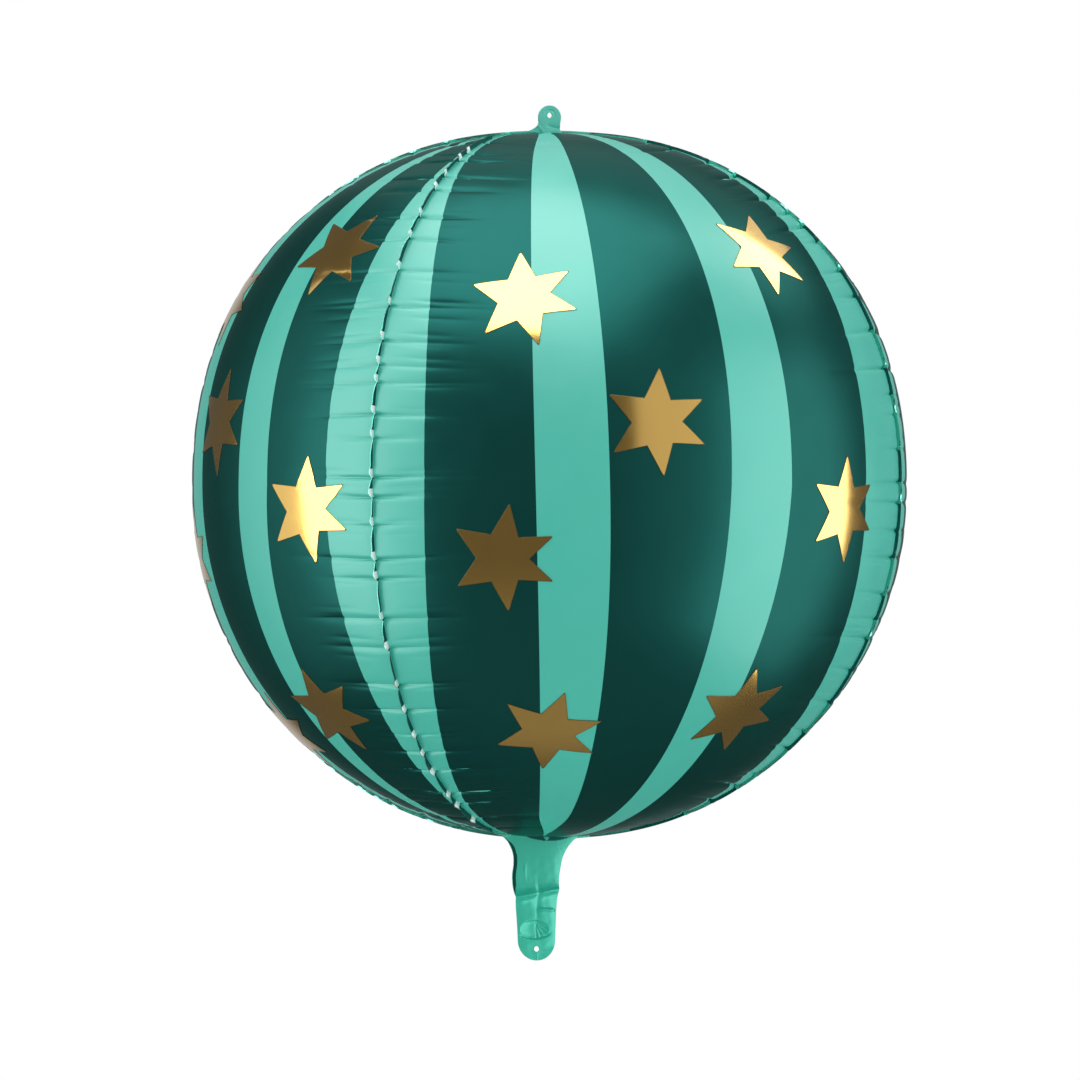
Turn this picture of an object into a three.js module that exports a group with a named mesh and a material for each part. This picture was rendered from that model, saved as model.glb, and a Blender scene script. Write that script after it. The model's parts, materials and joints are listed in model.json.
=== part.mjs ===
// Round foil party balloon: a 40 cm globe of four heat-sealed foil gores with gold star stamps,
// a hang tab on top and a flat filling neck with its self-sealing valve sleeve below.
// Millimetres, +Z up. The origin is the centre of the hole in the hang tab, which holds it up.
// The wide gores face -Y (front) and +Y (back); the narrow gusset gores face -X and +X.

import * as THREE from 'three';
import { mergeVertices } from 'three/addons/utils/BufferGeometryUtils.js';

// ---- driving dimensions -------------------------------------------------------------------

const GLOBE_RADIUS = 200; // at the equator
const GLOBE_HALF_HEIGHT = 197; // the poles are a little flattened
const UPPER_FULLNESS = 2.18; // superellipse exponents of the meridian: 2 is an ellipse
const LOWER_FULLNESS = 2.05;
const POLE_DROP = 9.8; // hang hole down to the top pole

const SKIN = 0.4; // foil, drawn thicker than the real film
const FIT_GAP = 0.3; // between neighbouring layers
const WIDE_GORE_HALF_ANGLE = 53.5; // degrees at the equator
const CREST_HALF_WIDTH = 25; // where the wide gores meet with no gusset between them
const CREST_HALF_DEPTH = 1.3; // half the gusset's width at its tip
const POLE_RADIUS = 1.5; // where a wide gore's point ends
const SEAM_FLANGE = 3; // heat-sealed margin that stands out of the globe
const POLE_FLANGE = 1.2; // the same at the poles, where tab and neck fold past it
const FLANGE_STARTS = 15; // distance from the axis at which the flange begins to rise
const FLANGE_FULL = 70; // and at which it is full

const TAB_RADIUS = 6.9;
const TAB_TOP = 5.5; // above the hang hole
const TAB_ROOT_HALF_WIDTH = 11;
const HANG_HOLE_RADIUS = 1.5;

const CREASE_CLEARANCE = 0.8; // bare foil each side of a crease, where it bends
const TAB_CREASE_RISE = 2.4; // above the top pole
const NECK_CREASE_DROP = 3; // below the bottom pole

const NECK_LENGTH = 66; // from its crease to its round end
const NECK_SHIFT = -8; // the neck hangs beside the globe's axis, towards -X
const NECK_ROOT_LEFT = -25; // X of the root's corners
const NECK_ROOT_RIGHT = 15;
const NECK_HALF_WIDTH = 14.6;
const NECK_TIP_RADIUS = 11.3;
const NECK_FLARE = 11; // length over which the root narrows
const NECK_HOLE_DEPTH = 59.5; // crease to the hole near the end
const NECK_HOLE_RADIUS = 1.6;
const INLET_DEPTH = 46; // crease to the filling slit in the front layer
const INLET_HALF_WIDTH = 5.5;
const INLET_HALF_HEIGHT = 0.8;

const VALVE_FILM = 0.25;
const VALVE_HALF_WIDTH = 9;
const VALVE_REACH_IN_GLOBE = 60;
const VALVE_REACH_IN_NECK = 42;

const STAR_RADIUS = 31.5;
const STAR_NOTCH_RADIUS = 15;
const STAR_THICKNESS = 0.3;
const STAR_LIFT = 0.5; // underside above the true surface of the globe

// A hand-cut star: bearings of its six tips, clockwise from straight up.
const STAR_TIPS = [0, 59, 108, 168, 230, 294];

// The seven stars of each gore: place across it (-1 left seam, 1 right seam), height above
// the equator, and turn of the star in degrees.
const STARS = [
  { across: -0.53, height: 104, turn: -6 },
  { across: 0.45, height: 130, turn: 22 },
  { across: -0.12, height: 35, turn: 6 },
  { across: -0.59, height: -41, turn: 8 },
  { across: 0.59, height: -14, turn: 4 },
  { across: -0.44, height: -138, turn: 18 },
  { across: 0.34, height: -127, turn: -4 },
];
// The gussets carry the same layout a little further to the right.
const GUSSET_STAR_SHIFT = 0.045;

const GORES = [
  { side: 'front', centre: 0, wide: true },
  { side: 'right', centre: 90, wide: false },
  { side: 'back', centre: 180, wide: true },
  { side: 'left', centre: 270, wide: false },
];

// ---- materials ----------------------------------------------------------------------------

const metal = (color, roughness) =>
  new THREE.MeshStandardMaterial({ color, roughness, metalness: 0.7 });
const mintFoil = () => metal(0x7dd3c0, 0.32);
const goldFoil = () => metal(0xb8923f, 0.16);
const clearFilm = () => new THREE.MeshStandardMaterial({ color: 0xe9eeec, roughness: 0.4 });

// ---- the globe's surface ------------------------------------------------------------------

const topPole = -POLE_DROP;
const globeCentre = topPole - GLOBE_HALF_HEIGHT;
const bottomPole = globeCentre - GLOBE_HALF_HEIGHT;
const tabCrease = topPole + TAB_CREASE_RISE;
const neckCrease = bottomPole - NECK_CREASE_DROP;
const crestEnd = Math.hypot(CREST_HALF_WIDTH, CREST_HALF_DEPTH);

const { degToRad, lerp, smoothstep } = THREE.MathUtils;
const fullness = (height) => (height > 0 ? UPPER_FULLNESS : LOWER_FULLNESS);

// The globe's radius at a height above its centre.
function radiusAt(height) {
  const power = fullness(height);
  return GLOBE_RADIUS * (1 - (Math.abs(height) / GLOBE_HALF_HEIGHT) ** power) ** (1 / power);
}

// The height at which the globe has a given radius; side is 1 above the centre, -1 below it.
function heightAt(radius, side) {
  const power = fullness(side);
  return side * GLOBE_HALF_HEIGHT * (1 - (radius / GLOBE_RADIUS) ** power) ** (1 / power);
}

// A point on the globe, moved outward by an offset. Azimuth runs from -Y towards +X.
function onGlobe(azimuth, height, offset = 0) {
  const power = fullness(height) - 1;
  const radial = (radiusAt(height) / GLOBE_RADIUS) ** power / GLOBE_RADIUS;
  const rise = (Math.abs(height) / GLOBE_HALF_HEIGHT) ** power / GLOBE_HALF_HEIGHT;
  const step = offset / Math.hypot(radial, rise);
  const radius = radiusAt(height) + radial * step;
  const z = globeCentre + height + Math.sign(height) * rise * step;
  return new THREE.Vector3(radius * Math.sin(azimuth), -radius * Math.cos(azimuth), z);
}

// Seen along Z a seam is a straight line, from the crest's end to its place on the equator,
// so the wide gores take a larger share of the globe near its poles.
function seamAngle(radius) {
  if (radius <= crestEnd) return Math.PI / 2;
  const end = degToRad(WIDE_GORE_HALF_ANGLE);
  const dx = GLOBE_RADIUS * Math.sin(end) - CREST_HALF_WIDTH;
  const dy = GLOBE_RADIUS * Math.cos(end) - CREST_HALF_DEPTH;
  const a = dx * dx + dy * dy;
  const b = 2 * (CREST_HALF_WIDTH * dx + CREST_HALF_DEPTH * dy);
  const c = crestEnd * crestEnd - radius * radius;
  const along = (Math.sqrt(b * b - 4 * a * c) - b) / (2 * a);
  return Math.atan2(CREST_HALF_WIDTH + dx * along, CREST_HALF_DEPTH + dy * along);
}

// ---- closed bodies from rings of points ---------------------------------------------------

function closedGeometry(points, index) {
  const geometry = new THREE.BufferGeometry().setFromPoints(points);
  geometry.setIndex(index);
  const merged = mergeVertices(geometry, 1e-5);
  merged.computeVertexNormals();
  return merged;
}

// Triangles between two equal rows of points; flip turns them over.
function band(firstRow, secondRow, flip) {
  const index = [];
  for (let i = 0; i + 1 < firstRow.length; i++) {
    const quad = [firstRow[i], firstRow[i + 1], secondRow[i + 1], secondRow[i]];
    const [a, b, c, d] = flip ? quad.reverse() : quad;
    if (a !== b) index.push(a, b, c);
    if (c !== d) index.push(a, c, d);
  }
  return index;
}

// The numbers of a closed ring of points, with the first repeated at the end.
function ringRow(start, count) {
  return Array.from({ length: count + 1 }, (_, i) => start + (i % count));
}

// ---- gores --------------------------------------------------------------------------------

const MERIDIAN_STEPS = 10; // from the equator to the crest's end
const WIDE_GORE_STEPS = 12;
const GUSSET_STEPS = 8;

// Heights of a gore's rings. The last two next to each pole belong to the wide gores only.
function ringHeights(wide) {
  const quarter = (side) => {
    const power = fullness(side);
    const last = Math.acos((crestEnd / GLOBE_RADIUS) ** (power / 2)) - 1e-4;
    const heights = Array.from({ length: MERIDIAN_STEPS }, (_, i) => {
      const angle = (last * (i + 1)) / MERIDIAN_STEPS;
      return side * GLOBE_HALF_HEIGHT * Math.sin(angle) ** (2 / power);
    });
    return wide ? [...heights, heightAt(crestEnd / 2, side), heightAt(POLE_RADIUS, side)] : heights;
  };
  return [...quarter(-1).reverse(), 0, ...quarter(1)];
}

// Half the gap between neighbouring gores. Between the wide gores at the bottom pole it
// leaves room for the valve sleeve.
function seamHalfGap(height, radius, wide) {
  const valveRoom = 1 - smoothstep(radius, crestEnd, 2 * crestEnd);
  const widest = height < 0 && wide ? 3 * FIT_GAP : FIT_GAP / 2;
  return lerp(FIT_GAP / 2, widest, valveRoom);
}

// One ring of a gore: a flange, the outside skin from left to right, the other flange, and
// then back along the inside.
function goreRing(centre, height, wide, steps) {
  const radius = radiusAt(height);
  const half = wide ? seamAngle(radius) : Math.PI / 2 - seamAngle(radius);
  const edge = half - seamHalfGap(height, radius, wide) / radius;
  const root = edge - SKIN / radius;
  const flange = lerp(POLE_FLANGE, SEAM_FLANGE, smoothstep(radius, FLANGE_STARTS, FLANGE_FULL));
  const across = Array.from({ length: steps + 1 }, (_, i) => centre + root * ((2 * i) / steps - 1));
  return [
    onGlobe(centre - edge, height, flange),
    onGlobe(centre - root, height, flange),
    ...across.map((azimuth) => onGlobe(azimuth, height)),
    onGlobe(centre + root, height, flange),
    onGlobe(centre + edge, height, flange),
    onGlobe(centre + edge, height, -SKIN),
    ...across.reverse().map((azimuth) => onGlobe(azimuth, height, -SKIN)),
    onGlobe(centre - edge, height, -SKIN),
  ];
}

// Closes the first or last ring: the skin's thickness, and a flange at each side of it.
function goreCap(start, perRing, steps, flip) {
  const at = (i) => start + i;
  const skin = Array.from({ length: steps + 1 }, (_, i) => at(i + 2));
  const lining = Array.from({ length: steps + 1 }, (_, i) => at(perRing - 2 - i));
  const right = steps + 2;
  return [
    ...band([at(0), at(1)], [at(perRing - 1), at(2)], flip),
    ...band([at(perRing - 1), at(2)], [at(perRing - 1), at(perRing - 2)], flip),
    ...band(skin, lining, flip),
    ...band([at(right), at(right + 3)], [at(right + 4), at(right + 3)], flip),
    ...band([at(right + 1), at(right + 2)], [at(right), at(right + 3)], flip),
  ];
}

function gore(centreDegrees, wide) {
  const steps = wide ? WIDE_GORE_STEPS : GUSSET_STEPS;
  const centre = degToRad(centreDegrees);
  const rings = ringHeights(wide).map((height) => goreRing(centre, height, wide, steps));
  const perRing = rings[0].length;
  const last = (rings.length - 1) * perRing;
  const sides = rings.slice(1).flatMap((_, level) => {
    const start = level * perRing;
    return band(ringRow(start, perRing), ringRow(start + perRing, perRing), false);
  });
  const caps = [...goreCap(0, perRing, steps, true), ...goreCap(last, perRing, steps, false)];
  return closedGeometry(rings.flat(), [...sides, ...caps]);
}

// ---- gold stars ---------------------------------------------------------------------------

// A point beside a place on the globe, pushed out from the globe's centre onto its surface.
function besideOnGlobe(azimuth, height, right, up, offset) {
  const place = onGlobe(azimuth, height);
  const uphill = onGlobe(azimuth, height + 1).sub(place).normalize();
  place.x += right * Math.cos(azimuth) + up * uphill.x;
  place.y += right * Math.sin(azimuth) + up * uphill.y;
  place.z += up * uphill.z - globeCentre;
  const power = fullness(place.z);
  const flat = (Math.hypot(place.x, place.y) / GLOBE_RADIUS) ** power;
  const tall = (Math.abs(place.z) / GLOBE_HALF_HEIGHT) ** power;
  place.multiplyScalar((flat + tall) ** (-1 / power));
  place.setLength(place.length() + offset);
  place.z += globeCentre;
  return place;
}

// A thin star that follows the globe: a middle point, a ring half way out and the outline,
// which has a point in the middle of each edge.
function star(centreDegrees, halfAngle, { across, height, turn }) {
  const azimuth = degToRad(centreDegrees) + across * halfAngle;
  const corners = STAR_TIPS.flatMap((tip, i) => {
    const next = i + 1 < STAR_TIPS.length ? STAR_TIPS[i + 1] : 360;
    return [
      new THREE.Vector2(0, STAR_RADIUS).rotateAround(new THREE.Vector2(), -degToRad(tip + turn)),
      new THREE.Vector2(0, STAR_NOTCH_RADIUS).rotateAround(
        new THREE.Vector2(), -degToRad((tip + next) / 2 + turn)),
    ];
  });
  const count = corners.length;
  const outline = corners.flatMap((p, i) => [p, p.clone().lerp(corners[(i + 1) % count], 0.5)]);
  const flat = [new THREE.Vector2(), ...corners.map((p) => p.clone().multiplyScalar(0.5)), ...outline];
  const layer = (offset) => flat.map((p) => besideOnGlobe(azimuth, height, p.x, p.y, offset));

  const middle = Array(count + 1).fill(0);
  const inner = ringRow(1, count);
  const rim = ringRow(1 + count, 2 * count);
  const face = band(middle, inner, false);
  for (let i = 0; i < count; i++) {
    const [near, middleOfEdge, far] = rim.slice(2 * i, 2 * i + 3);
    face.push(inner[i], middleOfEdge, near, inner[i], inner[i + 1], middleOfEdge);
    face.push(inner[i + 1], far, middleOfEdge);
  }
  const underside = face.map((_, i) => face[3 * Math.floor(i / 3) + 2 - (i % 3)] + flat.length);
  const side = band(rim, rim.map((i) => i + flat.length), false);
  const points = [...layer(STAR_LIFT + STAR_THICKNESS), ...layer(STAR_LIFT)];
  return closedGeometry(points, [...face, ...underside, ...side]);
}

// ---- flat layers: tab, neck and valve films -----------------------------------------------

// Extrudes an outline drawn in X and Z. The layer's near face is at y = from, and it is thick
// towards -Y.
function flatLayer(outline, from, thickness) {
  const geometry = new THREE.ExtrudeGeometry(outline, {
    depth: thickness,
    bevelEnabled: false,
    curveSegments: 10,
  });
  geometry.rotateX(Math.PI / 2);
  geometry.translate(0, from, 0);
  return geometry;
}

const roundHole = (x, z, radius) => new THREE.Path().absarc(x, z, radius, 0, 2 * Math.PI, true);

function tabOutline() {
  const root = tabCrease + CREASE_CLEARANCE;
  const centre = TAB_TOP - TAB_RADIUS;
  const outline = new THREE.Shape();
  outline.moveTo(-TAB_ROOT_HALF_WIDTH, root);
  outline.lineTo(TAB_ROOT_HALF_WIDTH, root);
  outline.quadraticCurveTo(TAB_RADIUS, root + 1, TAB_RADIUS, centre);
  outline.absarc(0, centre, TAB_RADIUS, 0, Math.PI, false);
  outline.quadraticCurveTo(-TAB_RADIUS, root + 1, -TAB_ROOT_HALF_WIDTH, root);
  outline.holes.push(roundHole(0, 0, HANG_HOLE_RADIUS));
  return outline;
}

function neckOutline(withInlet) {
  const root = neckCrease - CREASE_CLEARANCE;
  const waist = neckCrease - NECK_FLARE;
  const tipCentre = neckCrease - NECK_LENGTH + NECK_TIP_RADIUS;
  const left = NECK_SHIFT - NECK_HALF_WIDTH;
  const right = NECK_SHIFT + NECK_HALF_WIDTH;
  const outline = new THREE.Shape();
  outline.moveTo(NECK_ROOT_RIGHT, root);
  outline.lineTo(NECK_ROOT_LEFT, root);
  outline.quadraticCurveTo(left, root - 1, left, waist);
  outline.lineTo(NECK_SHIFT - NECK_TIP_RADIUS, tipCentre);
  outline.absarc(NECK_SHIFT, tipCentre, NECK_TIP_RADIUS, Math.PI, 2 * Math.PI, false);
  outline.lineTo(right, waist);
  outline.quadraticCurveTo(right, root - 1, NECK_ROOT_RIGHT, root);
  outline.holes.push(roundHole(NECK_SHIFT, neckCrease - NECK_HOLE_DEPTH, NECK_HOLE_RADIUS));
  if (withInlet) {
    const slit = new THREE.Path();
    const z = neckCrease - INLET_DEPTH;
    slit.absellipse(NECK_SHIFT, z, INLET_HALF_WIDTH, INLET_HALF_HEIGHT, 0, 2 * Math.PI, true);
    outline.holes.push(slit);
  }
  return outline;
}

function filmOutline(top, bottom) {
  const left = NECK_SHIFT - VALVE_HALF_WIDTH;
  const right = NECK_SHIFT + VALVE_HALF_WIDTH;
  const outline = new THREE.Shape();
  outline.moveTo(left, bottom);
  outline.lineTo(right, bottom);
  outline.lineTo(right, top);
  outline.lineTo(left, top);
  return outline;
}

// ---- assembly -----------------------------------------------------------------------------

const balloon = new THREE.Group();

function add(parent, name, geometry, material) {
  const mesh = new THREE.Mesh(geometry, material);
  mesh.name = name;
  parent.add(mesh);
}

// A front and a back layer, mirrored about the plane of the creases.
function addPair(parent, names, outlines, inner, thickness, material) {
  add(parent, names[0], flatLayer(outlines[0], -inner, thickness), material());
  add(parent, names[1], flatLayer(outlines[1], inner + thickness, thickness), material());
}

const globe = new THREE.Group();
for (const { side, centre, wide } of GORES) {
  add(globe, `gore_${side}`, gore(centre, wide), mintFoil());
  STARS.forEach((place, i) => {
    const seam = seamAngle(radiusAt(place.height));
    const halfAngle = wide ? seam : Math.PI / 2 - seam;
    const across = place.across + (wide ? 0 : GUSSET_STAR_SHIFT);
    add(globe, `star_${side}_${i + 1}`, star(centre, halfAngle, { ...place, across }), goldFoil());
  });
}
const upperFilm = filmOutline(bottomPole + VALVE_REACH_IN_GLOBE, neckCrease + CREASE_CLEARANCE);
addPair(globe, ['valve_film_front_in_globe', 'valve_film_back_in_globe'],
  [upperFilm, upperFilm], FIT_GAP / 2, VALVE_FILM, clearFilm);

const tab = new THREE.Group();
addPair(tab, ['tab_front_layer', 'tab_back_layer'],
  [tabOutline(), tabOutline()], FIT_GAP / 2, SKIN, mintFoil);

const neck = new THREE.Group();
const neckInner = 1.5 * FIT_GAP + VALVE_FILM;
addPair(neck, ['neck_front_layer', 'neck_back_layer'],
  [neckOutline(true), neckOutline(false)], neckInner, SKIN, mintFoil);
const lowerFilm = filmOutline(neckCrease - CREASE_CLEARANCE, neckCrease - VALVE_REACH_IN_NECK);
addPair(neck, ['valve_film_front_in_neck', 'valve_film_back_in_neck'],
  [lowerFilm, lowerFilm], FIT_GAP / 2, VALVE_FILM, clearFilm);

balloon.add(tab, globe, neck);
export default balloon;
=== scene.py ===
# The looks of a 40 cm round foil balloon: four heat-sealed gores of printed foil with gold star
# stamps, a hang tab on top and a flat filling neck with its valve sleeve below.
# Shapes are worked out in millimetres in the part's own frame and turned into metres at the end.

import json
import math

import bpy
import numpy as np
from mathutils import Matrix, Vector


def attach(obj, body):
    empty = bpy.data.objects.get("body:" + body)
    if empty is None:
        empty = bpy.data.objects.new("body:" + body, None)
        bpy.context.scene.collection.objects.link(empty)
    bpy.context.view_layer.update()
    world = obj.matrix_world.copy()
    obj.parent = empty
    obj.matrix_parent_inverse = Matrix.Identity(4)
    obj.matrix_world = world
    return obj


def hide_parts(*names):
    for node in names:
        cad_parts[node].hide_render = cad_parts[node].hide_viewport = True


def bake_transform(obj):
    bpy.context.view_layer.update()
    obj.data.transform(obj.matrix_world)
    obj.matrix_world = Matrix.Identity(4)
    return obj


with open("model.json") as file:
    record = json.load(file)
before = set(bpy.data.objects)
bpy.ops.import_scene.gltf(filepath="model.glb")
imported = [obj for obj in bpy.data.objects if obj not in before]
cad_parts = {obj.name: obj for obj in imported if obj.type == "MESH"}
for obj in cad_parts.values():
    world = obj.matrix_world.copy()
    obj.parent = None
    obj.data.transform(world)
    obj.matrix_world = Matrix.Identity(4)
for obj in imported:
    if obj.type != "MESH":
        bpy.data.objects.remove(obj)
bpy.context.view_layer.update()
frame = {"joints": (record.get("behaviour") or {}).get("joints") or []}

MM = 0.001

# ---- the globe's dimensions, as in the CAD model --------------------------------------------

GLOBE_RADIUS = 200
GLOBE_HALF_HEIGHT = 197
UPPER_FULLNESS = 2.18
LOWER_FULLNESS = 2.05
TOP_POLE = -9.8
GLOBE_CENTRE = TOP_POLE - GLOBE_HALF_HEIGHT
BOTTOM_POLE = GLOBE_CENTRE - GLOBE_HALF_HEIGHT
WIDE_GORE_HALF_ANGLE = 53.5
CREST_HALF_WIDTH = 25
CREST_HALF_DEPTH = 1.3
CREST_END = math.hypot(CREST_HALF_WIDTH, CREST_HALF_DEPTH)
POLE_RADIUS = 1.2

JOINT_HEIGHT = {j["name"]: j["pos_m"][2] / MM for j in frame["joints"]}
NECK_CREASE = JOINT_HEIGHT["neck_crease"]

GORES = [("front", 0, True), ("right", 90, False), ("back", 180, True), ("left", 270, False)]

STAR_RADIUS = 31.5
STAR_NOTCH_RADIUS = 15
STAR_TIP_ROUNDING = 1.4
STAR_TIPS = [0, 59, 108, 168, 230, 294]
STARS = [
    (-0.53, 104, -6),
    (0.45, 130, 22),
    (-0.12, 35, 6),
    (-0.59, -41, 8),
    (0.59, -14, 4),
    (-0.44, -138, 18),
    (0.34, -127, -4),
]  # place across the gore, height above the equator, turn in degrees
GUSSET_STAR_SHIFT = 0.045

# ---- film, seams and puckers ----------------------------------------------------------------

FILM = 0.3
ROW_STEP = 0.48
SEAM_GAP = 0.04
FIN_THICKNESS = 0.12
FIN_HEIGHT = {-53.5: 2.5, 53.5: 1.6, 126.5: 2.5, -126.5: 1.6}
FIN_HEIGHT_AT_POLES = 1.3
PUCKERS_START = 32  # distance from a pole along the globe
PUCKER_SPACING = (10, 25)
PUCKER_DEPTH = (1.0, 2.2)
PUCKER_REACH = (22, 42)
PUCKER_ROUNDING = 0.4
VALLEY_DEPTH = 0.25
VALLEY_WIDTH = 2.5


def blend_step(x, low, high):
    t = np.clip((x - low) / (high - low), 0, 1)
    return t * t * (3 - 2 * t)


def fullness(height):
    """The exponent of the globe's outline, which is squarer above its equator."""
    return np.where(np.asarray(height) > 0, UPPER_FULLNESS, LOWER_FULLNESS)


def radius_at(height):
    power = fullness(height)
    inside = 1 - (np.abs(height) / GLOBE_HALF_HEIGHT) ** power
    return GLOBE_RADIUS * np.clip(inside, 0, 1) ** (1 / power)


def on_globe(azimuth, height, offset=0.0):
    """Points on the globe in mm, moved outward by offset. Azimuth runs from -Y towards +X."""
    power = fullness(height) - 1
    radius = radius_at(height)
    radial = (radius / GLOBE_RADIUS) ** power / GLOBE_RADIUS
    rise = (np.abs(height) / GLOBE_HALF_HEIGHT) ** power / GLOBE_HALF_HEIGHT
    step = offset / np.hypot(radial, rise)
    out = radius + radial * step
    z = GLOBE_CENTRE + height + np.sign(height) * rise * step
    parts = np.broadcast_arrays(out * np.sin(azimuth), -out * np.cos(azimuth), z)
    return np.stack(parts, -1)


def seam_angle(radius):
    """Half angle of a wide gore: in plan a seam is a straight line from the crest's end."""
    end = math.radians(WIDE_GORE_HALF_ANGLE)
    dx = GLOBE_RADIUS * math.sin(end) - CREST_HALF_WIDTH
    dy = GLOBE_RADIUS * math.cos(end) - CREST_HALF_DEPTH
    a = dx * dx + dy * dy
    b = 2 * (CREST_HALF_WIDTH * dx + CREST_HALF_DEPTH * dy)
    c = CREST_END * CREST_END - np.maximum(radius, CREST_END) ** 2
    along = (np.sqrt(b * b - 4 * a * c) - b) / (2 * a)
    angle = np.arctan2(CREST_HALF_WIDTH + dx * along, CREST_HALF_DEPTH + dy * along)
    return np.where(radius <= CREST_END, math.pi / 2, angle)


def half_angle(radius, wide):
    return seam_angle(radius) if wide else math.pi / 2 - seam_angle(radius)


def meridian():
    """Heights and distances along the globe from its equator, pole to pole."""
    turn = np.linspace(-math.pi / 2, math.pi / 2, 20001)
    power = fullness(turn)
    heights = np.sign(turn) * GLOBE_HALF_HEIGHT * np.abs(np.sin(turn)) ** (2 / power)
    radii = radius_at(heights)
    steps = np.hypot(np.diff(heights), np.diff(radii))
    along = np.concatenate([[0], np.cumsum(steps)])
    return heights, along - np.interp(0, heights, along)


MERIDIAN_HEIGHTS, MERIDIAN_ALONG = meridian()


def along_at(height):
    return np.interp(height, MERIDIAN_HEIGHTS, MERIDIAN_ALONG)


def height_from(along):
    return np.interp(along, MERIDIAN_ALONG, MERIDIAN_HEIGHTS)


def make_seam(seed):
    """The puckers of one seam: place, depth, reach, slant, and where each is strongest."""
    random = np.random.default_rng(seed)
    puckers = []
    place = MERIDIAN_ALONG[0] + PUCKERS_START
    while place < MERIDIAN_ALONG[-1] - PUCKERS_START:
        depth = random.uniform(*PUCKER_DEPTH)
        reach = random.uniform(*PUCKER_REACH) * (0.55 + 0.22 * depth)
        slant = random.uniform(-0.03, 0.03) + 0.10 * place / GLOBE_RADIUS
        puckers.append((place, depth, reach, slant, 0.0))
        for _ in range(random.integers(1, 4)):
            side = place + random.uniform(-7, 7)
            puckers.append((side, random.uniform(0.15, 0.5), reach, slant * 1.5, reach * 0.9))
        place += random.uniform(*PUCKER_SPACING)
    return puckers


# One seam for each corner between a wide gore and a gusset, by the azimuth of its place.
SEAMS = {-53.5: make_seam(11), 53.5: make_seam(24), 126.5: make_seam(37), -126.5: make_seam(48)}


def main_puckers(seam):
    """Places of the puckers that start at the seam itself and kink its margin."""
    return np.array([p[0] for p in seam if p[4] == 0])


def puckers_at(seam, distance, along):
    """How far the film stands out near a seam, in mm; creases make it negative."""
    total = -VALLEY_DEPTH * np.exp(-distance / VALLEY_WIDTH)
    for place, depth, reach, slant, strongest in seam:
        fade = np.exp(-((distance - strongest) / reach / (0.45 if strongest else 1)) ** 2)
        offset = along - place + slant * distance
        width = 0.7 + 0.016 * distance
        past = np.hypot(offset, PUCKER_ROUNDING) - PUCKER_ROUNDING
        total = total - depth * fade * np.exp(-past / width)
    return total


def seam_keys(centre, wide):
    """The seams left and right of a gore, seen from outside."""
    half = WIDE_GORE_HALF_ANGLE if wide else 90 - WIDE_GORE_HALF_ANGLE
    keys = [centre - half, centre + half]
    return [(k + 180) % 360 - 180 for k in keys]


def relief(azimuth, height, centre, wide):
    """The film's displacement along the globe's normal at places on one gore."""
    radius = radius_at(height)
    along = along_at(height)
    half = half_angle(radius, wide)
    left, right = seam_keys(centre, wide)
    from_left = (azimuth - math.radians(centre) + half) * radius
    from_right = (half + math.radians(centre) - azimuth) * radius
    strength = blend_step(radius, 14, 95)
    total = puckers_at(SEAMS[left], np.maximum(from_left, 0), along)
    total = total + puckers_at(SEAMS[right], np.maximum(from_right, 0), along)
    return total * strength


# ---- meshes ---------------------------------------------------------------------------------


def ring_solid(name, rings, materials, strip_material=None, strip_smooth=None):
    """A closed mesh from equal closed rings of points in mm, with a face over each end ring.
    Seen from outside, a ring runs left to right and the rings follow each other upward."""
    rows, count, _ = rings.shape
    start = np.arange(rows - 1)[:, None] * count
    here = np.arange(count)[None, :]
    after = (here + 1) % count
    quads = np.stack([start + here, start + after, start + count + after, start + count + here], -1)
    quads = quads.reshape(-1, 4)
    caps = [np.arange(count)[::-1], (rows - 1) * count + np.arange(count)]
    corners = np.concatenate([quads.ravel(), *caps])
    sizes = np.concatenate([np.full(len(quads), 4), [count, count]])
    mesh = bpy.data.meshes.new(name)
    mesh.vertices.add(rows * count)
    mesh.vertices.foreach_set("co", (rings.reshape(-1) * MM).astype(np.float32))
    mesh.loops.add(len(corners))
    mesh.loops.foreach_set("vertex_index", corners.astype(np.int32))
    mesh.polygons.add(len(sizes))
    mesh.polygons.foreach_set("loop_start", np.concatenate([[0], np.cumsum(sizes)[:-1]]).astype(np.int32))
    for material in materials:
        mesh.materials.append(material)
    if strip_material is None:
        strip_material = np.zeros((rows - 1, count), int)
    if strip_smooth is None:
        strip_smooth = np.ones(count, bool)
    strip_material = np.broadcast_to(strip_material, (rows - 1, count)).reshape(-1)
    mesh.polygons.foreach_set("material_index", np.append(strip_material, [0, 0]).astype(np.int32))
    smooth = np.append(np.tile(strip_smooth, rows - 1), [False, False])
    mesh.polygons.foreach_set("use_smooth", smooth)
    mesh.update(calc_edges=True)
    mesh.validate()
    piece = bpy.data.objects.new(name, mesh)
    bpy.context.scene.collection.objects.link(piece)
    return piece


def cut(piece, cutter):
    """Cuts the cutter's volume out of a piece for good."""
    modifier = piece.modifiers.new("cut", "BOOLEAN")
    modifier.operation = "DIFFERENCE"
    modifier.solver = "EXACT"
    modifier.object = cutter
    evaluated = piece.evaluated_get(bpy.context.evaluated_depsgraph_get())
    mesh = bpy.data.meshes.new_from_object(evaluated)
    piece.modifiers.clear()
    piece.data = mesh
    bpy.data.objects.remove(cutter)


def round_cutter(x, z, radius, half_length):
    """A rod along Y, for a hole through a flat layer."""
    turn = np.linspace(0, 2 * math.pi, 33)[:-1]
    circle = np.stack([x + radius * np.cos(turn), 0 * turn, z + radius * np.sin(turn)], -1)
    ends = [circle + [0, half_length, 0], circle - [0, half_length, 0]]
    return ring_solid("cutter", np.array(ends), [])


# ---- materials ------------------------------------------------------------------------------


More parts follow.
